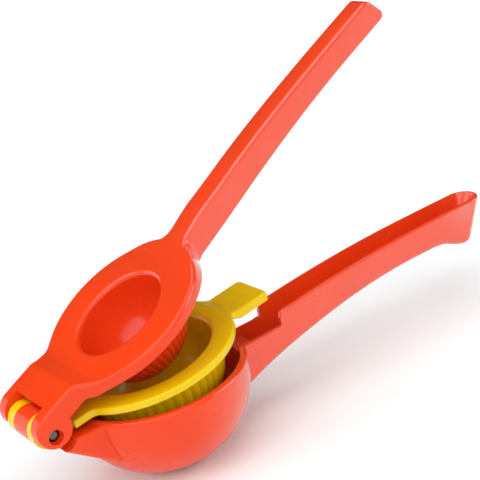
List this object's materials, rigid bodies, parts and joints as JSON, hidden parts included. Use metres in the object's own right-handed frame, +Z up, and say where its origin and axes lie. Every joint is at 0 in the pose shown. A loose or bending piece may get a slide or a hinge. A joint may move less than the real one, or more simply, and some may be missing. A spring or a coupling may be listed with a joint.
{
  "type": "hinged lemon squeezer",
  "caption": "Hand citrus press with a draining bowl, a fluted cup with a thumb tab and a fluted press arm, all hinged on a cross pin at the end opposite the long handles.",
  "frame": {"origin": "middle of the small flat under the bowl, on which the squeezer stands", "axes": "+X from the hinge towards the handles' ends, +Y along the hinge pin, +Z up out of the bowl"},
  "size_m": [0.2242, 0.073, 0.1395],
  "materials": {
    "red_enamel": "glossy orange-red enamel on cast aluminium",
    "yellow_enamel": "glossy yellow enamel on cast aluminium",
    "pin_steel": "bright steel with a domed end"
  },
  "bodies": {
    "bowl_arm": {"bowl_arm": "red_enamel"},
    "cup": {"cup": "yellow_enamel"},
    "press_arm": {"press_arm": "red_enamel", "hinge_pin": "pin_steel"}
  },
  "joints": [
    {"name": "cup_hinge", "type": "hinge", "parent": "bowl_arm", "child": "cup", "pos_m": [-0.05, 0, 0.03966], "axis": [0, -1, 0], "range_deg": [-7, 73]},
    {"name": "press_hinge", "type": "hinge", "parent": "cup", "child": "press_arm", "pos_m": [-0.05, 0, 0.03966], "axis": [0, -1, 0], "range_deg": [-16.4, 81.3]}
  ]
}
